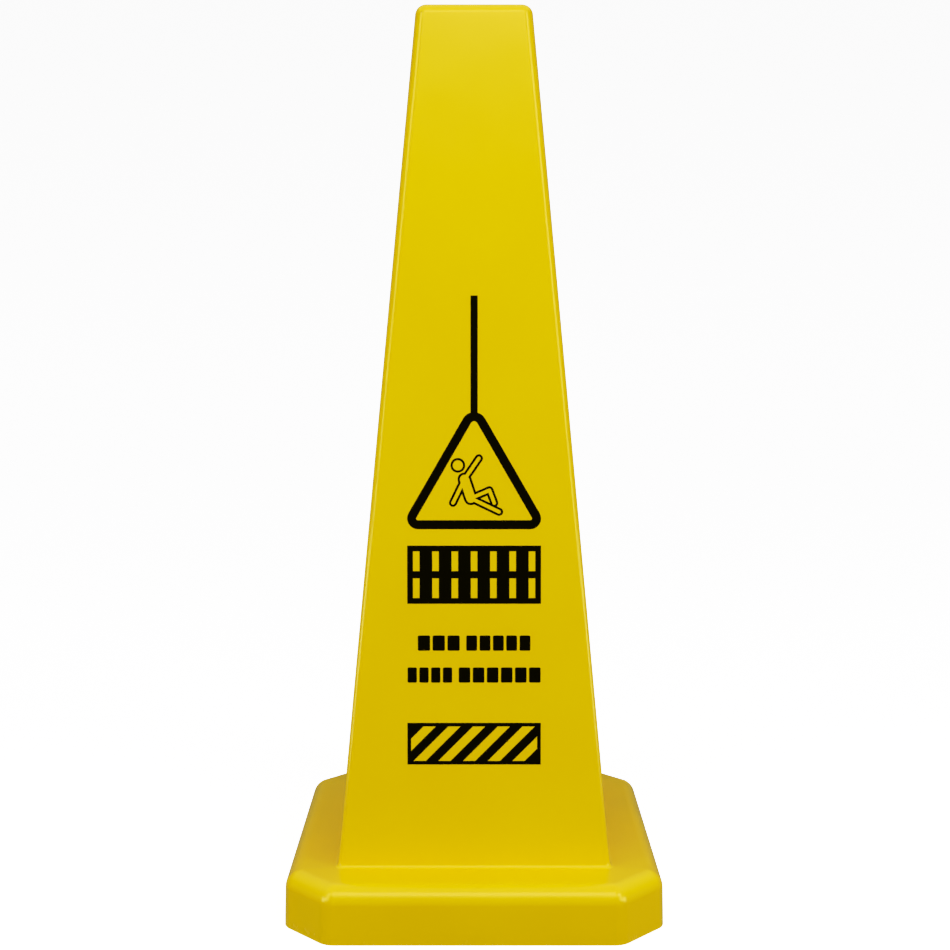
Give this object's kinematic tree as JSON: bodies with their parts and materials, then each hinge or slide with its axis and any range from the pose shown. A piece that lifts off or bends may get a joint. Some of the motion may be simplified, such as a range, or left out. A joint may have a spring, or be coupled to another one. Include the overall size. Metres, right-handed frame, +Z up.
{
  "type": "wet floor sign",
  "caption": "Four-sided hollow pyramid floor sign on a chamfered square base, with a slip warning print on each face.",
  "frame": {"origin": "middle of the square footprint, on the floor", "axes": "+Z up through the middle of the closed top, -Y out of the front printed face, +X to the right of someone facing that face"},
  "size_m": [0.254, 0.254, 0.6096],
  "materials": {
    "yellow_plastic": "semi-gloss moulded lemon-yellow polypropylene",
    "black_ink": "satin black screen-printed ink film"
  },
  "bodies": {
    "root": {"cone_shell": "yellow_plastic", "front_triangle_sign": "black_ink", "front_slipping_figure": "black_ink", "front_figure_head": "black_ink", "front_caution_panel": "black_ink", "front_upper_bar_short": "black_ink", "front_upper_bar_long": "black_ink", "front_lower_bar_short": "black_ink", "front_lower_bar_long": "black_ink", "front_striped_block": "black_ink", "right_triangle_sign": "black_ink", "right_slipping_figure": "black_ink", "right_figure_head": "black_ink", "right_caution_panel": "black_ink", "right_upper_bar_short": "black_ink", "right_upper_bar_long": "black_ink", "right_lower_bar_short": "black_ink", "right_lower_bar_long": "black_ink", "right_striped_block": "black_ink", "back_triangle_sign": "black_ink", "back_slipping_figure": "black_ink", "back_figure_head": "black_ink", "back_caution_panel": "black_ink", "back_upper_bar_short": "black_ink", "back_upper_bar_long": "black_ink", "back_lower_bar_short": "black_ink", "back_lower_bar_long": "black_ink", "back_striped_block": "black_ink", "left_triangle_sign": "black_ink", "left_slipping_figure": "black_ink", "left_figure_head": "black_ink", "left_caution_panel": "black_ink", "left_upper_bar_short": "black_ink", "left_upper_bar_long": "black_ink", "left_lower_bar_short": "black_ink", "left_lower_bar_long": "black_ink", "left_striped_block": "black_ink"}
  },
  "joints": []
}
